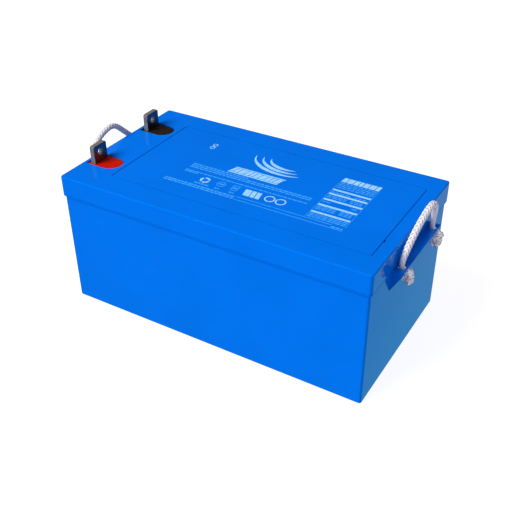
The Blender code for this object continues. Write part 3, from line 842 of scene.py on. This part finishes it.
def make_lid(look):
    half_x, half_y = lid_high.x, lid_high.y
    rings = []
    for rise, inset in (
        (-GROOVE_MIDDLE, 0.0),
        (-GROOVE_MOUTH, 0.0),
        (-GROOVE_FLOOR, GROOVE_DEPTH),
        (GROOVE_FLOOR, GROOVE_DEPTH),
        (GROOVE_MOUTH, 0.0),
    ):
        outline = rounded_plan(half_x - inset, half_y - inset, LID_CORNER - inset)
        rings.append([(x, y, SKIRT_BOTTOM + GROOVE_MIDDLE + rise) for x, y in outline])
    for inset, depth in rounding():
        outline = rounded_plan(half_x - inset, half_y - inset, LID_CORNER - inset)
        rings.append([(x, y, LID_TOP - depth) for x, y in outline])
    lid = stacked(rings)
    recess = rounded_rectangle(
        cover_low.x - COVER_SLIT,
        cover_high.x + COVER_END_SLIT,
        cover_low.y - COVER_SLIT,
        cover_high.y + COVER_SLIT,
        COVER_CORNER + COVER_SLIT,
    )
    cut(lid, upright(recess, LID_TOP - RECESS_DEPTH, LID_TOP + CLEAR))
    notch = disc(cover_high.x, NOTCH_Y, NOTCH_RADIUS)
    cut(lid, upright(notch, LID_TOP - RECESS_DEPTH, LID_TOP + CLEAR))
    wells = [well_outline(side * FLAG_Y) for side in (-1, 1)]
    cut(lid, *[upright(well, LID_TOP - WELL_DEPTH, LID_TOP + CLEAR) for well in wells])
    soften(lid, CRISP_EDGE)

    inside = rounded_plan(CASE_HALF_X + GAP, CASE_HALF_Y + GAP, CASE_CORNER + GAP)
    cut(lid, upright(inside, SKIRT_BOTTOM - CLEAR, LID_TOP - DECK))
    bosses, pockets = [], []
    for x, y in cell_middles():
        boss = disc(x, y, POCKET_RADIUS + POCKET_WALL)
        bosses.append(upright(boss, POCKET_FLOOR - POCKET_WALL, BOSS_TOP))
        pockets.append(upright(disc(x, y, POCKET_RADIUS), POCKET_FLOOR, LID_TOP + CLEAR))
    for side in (-1, 1):
        y = side * FLAG_Y
        x0, x1 = FLAG_X - SOCKET_HALF_X, FLAG_X + SOCKET_HALF_X
        y0, y1 = y - SOCKET_HALF_Y, y + SOCKET_HALF_Y
        boss = rectangle(x0 - SOCKET_WALL, x1 + SOCKET_WALL, y0 - SOCKET_WALL, y1 + SOCKET_WALL)
        bosses.append(upright(boss, SOCKET_FLOOR - SOCKET_BASE, BOSS_TOP))
        pockets.append(block(x0, x1, y0, y1, SOCKET_FLOOR, LID_TOP - WELL_DEPTH / 2))
        bore = disc(FLAG_X, y, STEM_RADIUS + 2 * GAP)
        pockets.append(upright(bore, SOCKET_FLOOR - CLEAR, SOCKET_FLOOR + OVERLAP))
    add(lid, *bosses)
    cut(lid, *pockets)
    dress(lid, "lid_shell", look)
    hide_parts("lid")


def make_cover(look):
    low_x, low_y, high_y = cover_low.x + SLIT_WORN, cover_low.y + SLIT_WORN, cover_high.y - SLIT_WORN
    outline = rounded_rectangle(low_x, cover_high.x, low_y, high_y, COVER_CORNER)
    cover = upright(outline, cover_low.z, cover_high.z)
    soften(cover, CRISP_EDGE)
    dress(cover, "cover_plate", look)
    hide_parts("vent_cover_plate")


# Terminals


def make_terminal(name, side, look):
    y = side * FLAG_Y
    bottom = RESIN_TOP + GAP
    left, right = FLAG_X - FLAG_HALF_X, FLAG_X + FLAG_HALF_X
    outline = [
        (y - FLAG_HALF_Y, bottom),
        (y + FLAG_HALF_Y, bottom),
        (y + FLAG_HALF_Y, FLAG_TOP - FLAG_CHAMFER),
        (y + FLAG_HALF_Y - FLAG_CHAMFER, FLAG_TOP),
        (y - FLAG_HALF_Y + FLAG_CHAMFER, FLAG_TOP),
        (y - FLAG_HALF_Y, FLAG_TOP - FLAG_CHAMFER),
    ]
    flag = along_x(outline, left, right)
    cut(flag, along_x(disc(y, BOLT_HOLE_Z, BOLT_HOLE_RADIUS), left - CLEAR, right + CLEAR))
    soften(flag, FLAG_EDGE, 3, 30)
    half_x, half_y = FLAG_HALF_X - FOOT_INSET, FLAG_HALF_Y - FOOT_INSET
    foot = rectangle(FLAG_X - half_x, FLAG_X + half_x, y - half_y, y + half_y)
    add(flag, upright(foot, FOOT_BOTTOM, bottom + OVERLAP))
    add(flag, upright(disc(FLAG_X, y, STEM_RADIUS), flag_low.z, STEM_TOP))
    dress(flag, f"{name}_flag", look)
    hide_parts(f"{name}_terminal")


def make_resin(name, side, look):
    """The resin poured round a flag: a pool that has shrunk from the well's wall and creeps up the metal."""
    y = side * FLAG_Y
    shape = bmesh.new()

    def ring(outline, z):
        return [shape.verts.new((px, py, z)) for px, py in outline]

    def wall(low, high):
        for i in range(len(low)):
            j = (i + 1) % len(low)
            shape.faces.new((low[i], low[j], high[j], high[i]))

    def foot(margin):
        grown = GAP + margin - FOOT_INSET
        half_x, half_y = FLAG_HALF_X + grown, FLAG_HALF_Y + grown
        return rounded_rectangle(FLAG_X - half_x, FLAG_X + half_x, y - half_y, y + half_y, 0.0004 + margin, 3)

    base = LID_TOP - WELL_DEPTH + GAP
    outer = [ring(well_outline(y, GAP), base)]
    outer += [ring(well_outline(y, GAP + inset), RESIN_TOP + rise) for inset, rise in RESIN_SHRINK]
    inner = [ring(foot(0.0), base)]
    inner += [ring(foot(inset), RESIN_TOP + rise * 0.35) for inset, rise in RESIN_CREEP]
    for low, high in zip(outer, outer[1:]):
        wall(low, high)
    for low, high in zip(inner, inner[1:]):
        wall(high, low)
    for loops in ((outer[-1], inner[-1]), (outer[0], inner[0])):
        edges = []
        for loop in loops:
            edges += [shape.edges.get((a, b)) for a, b in zip(loop, [*loop[1:], loop[0]])]
        bmesh.ops.triangle_fill(shape, edges=edges, use_beauty=True)
    bmesh.ops.recalc_face_normals(shape, faces=shape.faces)
    resin = dress(object_of(shape, "resin"), f"{name}_resin", look, smooth_below=60)
    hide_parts(f"{name}_well_resin")


# Printing on the cover plate: plain bars and shapes in place of its label


def printed(shape, outline):
    """Adds one patch of ink."""
    bottom, top = cover_high.z - 0.00005, cover_high.z + 0.00006
    add_rings(shape, [[(x, y, z) for x, y in outline] for z in (bottom, top)])


def bars(shape, x0, x1, y, height, words, slant=0.0):
    """A line of bars of uneven lengths, like words in small print."""
    weights = [1.0 + 0.8 * math.sin(2.3 * word + 900 * y) ** 2 for word in range(words)]
    space = min(0.0012, 0.25 * (x1 - x0) / words)
    scale = (x1 - x0 - space * (words - 1)) / sum(weights)
    x = x0
    for weight in weights:
        end = x + weight * scale
        printed(shape, [(x, y), (end, y), (end + slant, y + height), (x + slant, y + height)])
        x = end + space


def frame_of(shape, x0, x1, y0, y1, line):
    """A rectangle drawn in a thin line."""
    printed(shape, rectangle(x0, x1, y0, y0 + line))
    printed(shape, rectangle(x0, x1, y1 - line, y1))
    printed(shape, rectangle(x0, x0 + line, y0 + line, y1 - line))
    printed(shape, rectangle(x1 - line, x1, y0 + line, y1 - line))


def ring_of(shape, x, y, radius, line, start=0, end=360, steps=24):
    """An arc drawn in a thick line."""
    turns = [math.radians(start + (end - start) * step / steps) for step in range(steps + 1)]
    for a, b in zip(turns, turns[1:]):
        inner, outer = radius - line, radius
        printed(shape, [
            (x + inner * math.cos(a), y + inner * math.sin(a)),
            (x + outer * math.cos(a), y + outer * math.sin(a)),
            (x + outer * math.cos(b), y + outer * math.sin(b)),
            (x + inner * math.cos(b), y + inner * math.sin(b)),
        ])


def swoosh(shape, points):
    """A curved stroke that swells and tapers, through points with their widths."""
    route = smooth_route([Vector((x, y, width)) for x, y, width in points], 4)
    ways = along([Vector((point.x, point.y, 0.0)) for point in route])
    left = [(p.x - way.y * p.z / 2, p.y + way.x * p.z / 2) for p, way in zip(route, ways)]
    right = [(p.x + way.y * p.z / 2, p.y - way.x * p.z / 2) for p, way in zip(route, ways)]
    printed(shape, right + left[::-1])


def bold_print():
    """An emblem of plain strokes, a banner of blocks, rings, and a table's heading and bands."""
    shape = bmesh.new()
    for size in EMBLEM_SIZES:
        stroke = []
        for degrees, width in EMBLEM_STROKE:
            turn = math.radians(degrees)
            x = EMBLEM_X + EMBLEM_HALF_X * size * math.cos(turn)
            y = EMBLEM_Y + EMBLEM_HALF_Y * size * math.sin(turn)
            stroke.append((x, y, width))
        swoosh(shape, stroke)
    slant = 0.0055
    x0, x1, y0, y1, line = -0.0445, 0.0380, 0.0005, 0.0190, 0.0024
    for low in (y0, y1 - line):
        lean = slant * (low - y0) / (y1 - y0)
        high_lean = lean + slant * line / (y1 - y0)
        high = low + line
        printed(shape, [(x0 + lean, low), (x1 + lean, low), (x1 + high_lean, high), (x0 + high_lean, high)])
    bars(shape, x0 + 0.0015, x1 - 0.0005, y0 + line + 0.0009, y1 - y0 - 2 * line - 0.0018, 10, slant * 0.66)
    ring_of(shape, -0.1045, 0.0620, 0.0042, 0.0015)
    ring_of(shape, -0.1045, 0.0532, 0.0042, 0.0015)
    for start in (20, 140, 260):
        ring_of(shape, -0.0570, -0.0385, 0.0078, 0.0034, start, start + 95, 10)
    bars(shape, 0.0105, 0.0365, -0.0475, 0.0165, 3, -0.0030)
    ring_of(shape, 0.0495, -0.0385, 0.0080, 0.0020)
    ring_of(shape, 0.0665, -0.0385, 0.0080, 0.0020)
    bars(shape, TABLE_LEFT, TABLE_RIGHT, 0.0550, 0.0125, 7, 0.0010)
    for y in TABLE_BANDS:
        printed(shape, rectangle(TABLE_LEFT, TABLE_RIGHT, y - 0.0021, y + 0.0021))
    return shape


def small_print():
    """Rows of short bars in place of small lettering, fainter symbols, and thin rules."""
    shape = bmesh.new()
    for x0, x1, y, height, words in (
        (-0.1000, -0.0060, -0.0052, 0.0028, 14),
        (-0.1000, 0.0990, -0.0100, 0.0026, 27),
        (-0.1000, 0.0990, -0.0146, 0.0024, 25),
        (-0.1000, 0.0990, -0.0250, 0.0022, 26),
        (-0.1000, -0.0770, -0.0288, 0.0024, 4),
        (-0.0680, -0.0440, -0.0515, 0.0028, 4),
        (-0.0340, -0.0260, -0.0515, 0.0028, 2),
        (-0.0100, -0.0020, -0.0515, 0.0028, 2),
        (-0.1130, 0.0040, -0.0592, 0.0030, 17),
        (-0.1130, 0.0040, -0.0636, 0.0026, 15),
        (0.1530, 0.1700, -0.0610, 0.0030, 3),
    ):
        bars(shape, x0, x1, y, height, words)
    ring_of(shape, -0.0305, -0.0370, 0.0070, 0.0012)
    bars(shape, -0.0345, -0.0265, -0.0388, 0.0036, 2)
    frame_of(shape, -0.0125, -0.0020, -0.0440, -0.0300, 0.0012)
    bars(shape, -0.0100, -0.0045, -0.0395, 0.0050, 2)
    printed(shape, rectangle(0.0060, 0.1520, -0.0562, -0.0551))
    printed(shape, rectangle(0.0060, TABLE_RIGHT, -0.0637, -0.0626))
    for x in (TABLE_LEFT - 0.0012, TABLE_RIGHT + 0.0006):
        printed(shape, rectangle(x, x + 0.0006, -0.0540, 0.0540))
    for columns, y in TABLE_ROWS:
        if columns == 1:
            bars(shape, TABLE_LEFT + 0.001, TABLE_RIGHT - 0.001, y, 0.0022, 8)
        elif columns == 2:
            bars(shape, TABLE_LEFT + 0.001, TABLE_LEFT + 0.030, y, 0.0022, 4)
            bars(shape, TABLE_LEFT + 0.036, TABLE_RIGHT - 0.004, y, 0.0022, 3)
        else:
            bars(shape, TABLE_LEFT + 0.001, TABLE_LEFT + 0.014, y, 0.0022, 2)
            bars(shape, TABLE_RIGHT - 0.012, TABLE_RIGHT - 0.004, y, 0.0022, 1)
    return shape


def make_print():
    bold = printed_ink("bold_ink", (0.18, 0.50, 0.90), (0.40, 0.74, 0.98))
    small = printed_ink("small_ink", (0.01, 0.28, 0.86), (0.07, 0.42, 0.92))
    for name, shape, look in (("bold", bold_print(), bold), ("small", small_print(), small)):
        ink = dress(object_of(shape, name), f"cover_{name}_print", look)


# Stage


def soft_light(name, power, mirrored):
    """A round soft light aimed at the battery, which its gloss mirrors or doesn't."""
    light = bpy.data.lights.new(name, "AREA")
    light.shape = "DISK"
    light.size = LIGHT_SIZE
    light.energy = power
    made = bpy.data.objects.new(name, light)
    made.location = LIGHT_PLACE
    made.visible_glossy = mirrored
    towards = Vector((0.0, 0.0, 0.1)) - Vector(LIGHT_PLACE)
    made.rotation_euler = towards.to_track_quat("-Z", "Y").to_euler()
    bpy.context.scene.collection.objects.link(made)


def make_stage():
    scene = bpy.context.scene
    scene.view_settings.view_transform = "Standard"
    floor = upright(disc(0.0, 0.0, 12.0, 64), -0.02, -0.0002)
    floor.name = "floor"
    paper = Look("paper", Roughness=0.9, Emission_Color=(1.0, 1.0, 1.0, 1.0), Emission_Strength=0.90)
    grain = paper.shift(paper.noise(0.02, 3.0), 0.0, 1.0)
    paper.feed("Base Color", paper.blend(grain, (0.24, 0.24, 0.24), (0.28, 0.28, 0.28)))
    floor.data.materials.append(paper.material)
    floor.visible_diffuse = False
    floor.visible_glossy = False

    world = bpy.data.worlds.new("room")
    scene.world = world
    world.use_nodes = True
    nodes, links = world.node_tree.nodes, world.node_tree.links

    def mixed(amount, first, second):
        made = nodes.new("ShaderNodeMix")
        made.data_type = "RGBA"
        links.new(amount, made.inputs[0])
        for socket, value in ((6, first), (7, second)):
            if isinstance(value, tuple):
                made.inputs[socket].default_value = value
            else:
                links.new(value, made.inputs[socket])
        return made.outputs[2]

    def stretched(value, low, high):
        made = nodes.new("ShaderNodeMapRange")
        made.inputs["From Min"].default_value = low
        made.inputs["From Max"].default_value = high
        links.new(value, made.inputs["Value"])
        return made.outputs["Result"]

    rays = nodes.new("ShaderNodeLightPath").outputs
    towards = nodes.new("ShaderNodeSeparateXYZ")
    links.new(nodes.new("ShaderNodeTexCoord").outputs["Generated"], towards.inputs[0])
    up = stretched(towards.outputs["Z"], -0.1, 0.1)
    back = stretched(towards.outputs["Y"], -0.2, 0.2)
    rising = stretched(towards.outputs["Z"], -0.62, -0.44)
    reflected_back = mixed(rising, REFLECTED_BACK_LOW, REFLECTED_BACK_HIGH)
    reflected = mixed(up, mixed(back, REFLECTED_FRONT, reflected_back), REFLECTED_ABOVE)
    lit = mixed(rays["Is Diffuse Ray"], ROOM_SEEN, mixed(up, LIGHT_BELOW, LIGHT_ABOVE))
    links.new(mixed(rays["Is Glossy Ray"], lit, reflected), nodes["Background"].inputs["Color"])

    soft_light("key", KEY_POWER, False)
    soft_light("glint", GLINT_POWER, True)


def main():
    make_camera()
    # The white rope in three copies: the right rope's is the plain one. The knots' is lighter, as painted light
    # where they sit in shade under the ledges. The left rope's is darker with paler creases, as painted shade
    # where the key lights it fully.
    knot_look_painted_light = braided_fibre("knot_fibre_painted_light", (0.95, 0.92, 0.86), (1.0, 0.98, 0.93), (0.44, 0.42, 0.40))
    left_look_painted_shade = braided_fibre("left_rope_fibre_painted_shade", (0.72, 0.70, 0.68), (0.82, 0.80, 0.78), (0.54, 0.53, 0.52))
    right_look = braided_fibre("right_rope_fibre", (0.78, 0.78, 0.80), (0.90, 0.90, 0.93), (0.34, 0.33, 0.35))
    make_rope("left", -1, LEFT_LOOP, LEFT_WIDTHS, LEFT_KNOT_Z, left_look_painted_shade, knot_look_painted_light)
    make_rope("right", 1, RIGHT_LOOP, RIGHT_WIDTHS, RIGHT_KNOT_Z, right_look, knot_look_painted_light)

    make_case(moulded_plastic("case_plastic", 0.10))
    make_lid(moulded_plastic("lid_plastic", 0.09, GROOVE_PAINTED_SHADE, groove=True))
    make_cover(moulded_plastic("cover_plastic", 0.11, SLIT_PAINTED_SHADE))
    metal = plated_metal("tinned_metal")
    resins = {
        "positive": poured_resin("red_resin_pool", (0.50, 0.007, 0.0010), (0.58, 0.011, 0.0015)),
        "negative": poured_resin("black_resin_pool", (0.010, 0.006, 0.004), (0.020, 0.012, 0.008)),
    }
    for name, side in (("positive", -1), ("negative", 1)):
        make_terminal(name, side, metal)
        make_resin(name, side, resins[name])
    make_print()

    hidden = {
        "lid_seal": cured_resin("seal_bead", (0.10, 0.09, 0.07)),
        "seal_ring": moulded_rubber("ring_rubber"),
        "vent_valve_cap": moulded_rubber("cap_rubber"),
        "positive_plates": pasted_lead("positive_paste", (0.10, 0.05, 0.03), (0.22, 0.12, 0.08), 0.0),
        "negative_plates": pasted_lead("negative_paste", (0.22, 0.23, 0.25), (0.38, 0.39, 0.41), 0.4),
        "separator": glass_mat("felted_glass"),
        "cell_link": cast_lead("link_lead"),
    }
    for name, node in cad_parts.items():
        for label, look in hidden.items():
            if label in name:
                node.data.materials.clear()
                node.data.materials.append(look)
    make_stage()


main()
